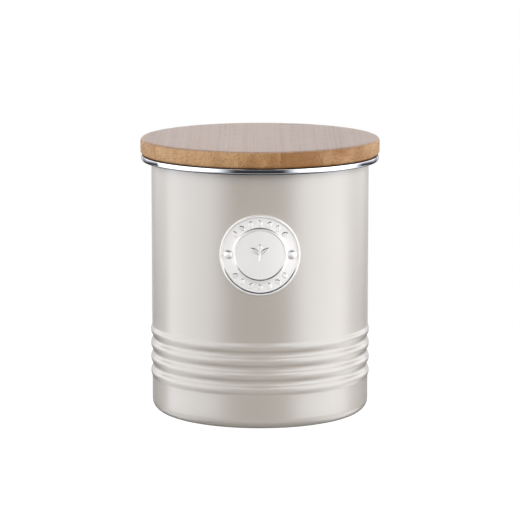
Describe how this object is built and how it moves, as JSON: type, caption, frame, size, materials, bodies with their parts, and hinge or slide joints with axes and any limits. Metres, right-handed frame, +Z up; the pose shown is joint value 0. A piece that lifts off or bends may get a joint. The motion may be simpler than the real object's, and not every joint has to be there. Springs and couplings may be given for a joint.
{
  "type": "kitchen canister",
  "caption": "Round coated steel storage tin with beads round the lower wall, a polished rim, a riveted metal badge and a bamboo lid with a silicone seal.",
  "frame": {"origin": "centre of the foot, on the surface that the tin stands on", "axes": "+Z up along the tin's axis; the badge faces -Y; +X is to the right of the badge"},
  "size_m": [0.12, 0.12, 0.1384],
  "materials": {
    "tin_coating": "satin",
    "polished_steel": "polished",
    "badge_metal": "satin",
    "rivet_metal": "polished",
    "lid_bamboo": "satin",
    "plug_bamboo": "satin",
    "seal_silicone": "matte"
  },
  "bodies": {
    "tin": {"tin_body": "tin_coating", "rim_ring": "polished_steel", "badge_plate": "badge_metal", "badge_rivets": "rivet_metal"},
    "seal": {"lid_seal": "seal_silicone"},
    "lid": {"lid_board": "lid_bamboo", "lid_plug": "plug_bamboo"}
  },
  "joints": [
    {"name": "lid_lift", "type": "slide", "parent": "tin", "child": "seal", "axis": [0, 0, 1], "range_m": [0, 0.06]},
    {"name": "lid_turn", "type": "hinge", "parent": "seal", "child": "lid", "pos_m": [0, 0, 0.1302], "axis": [0, 0, 1], "continuous": true}
  ]
}
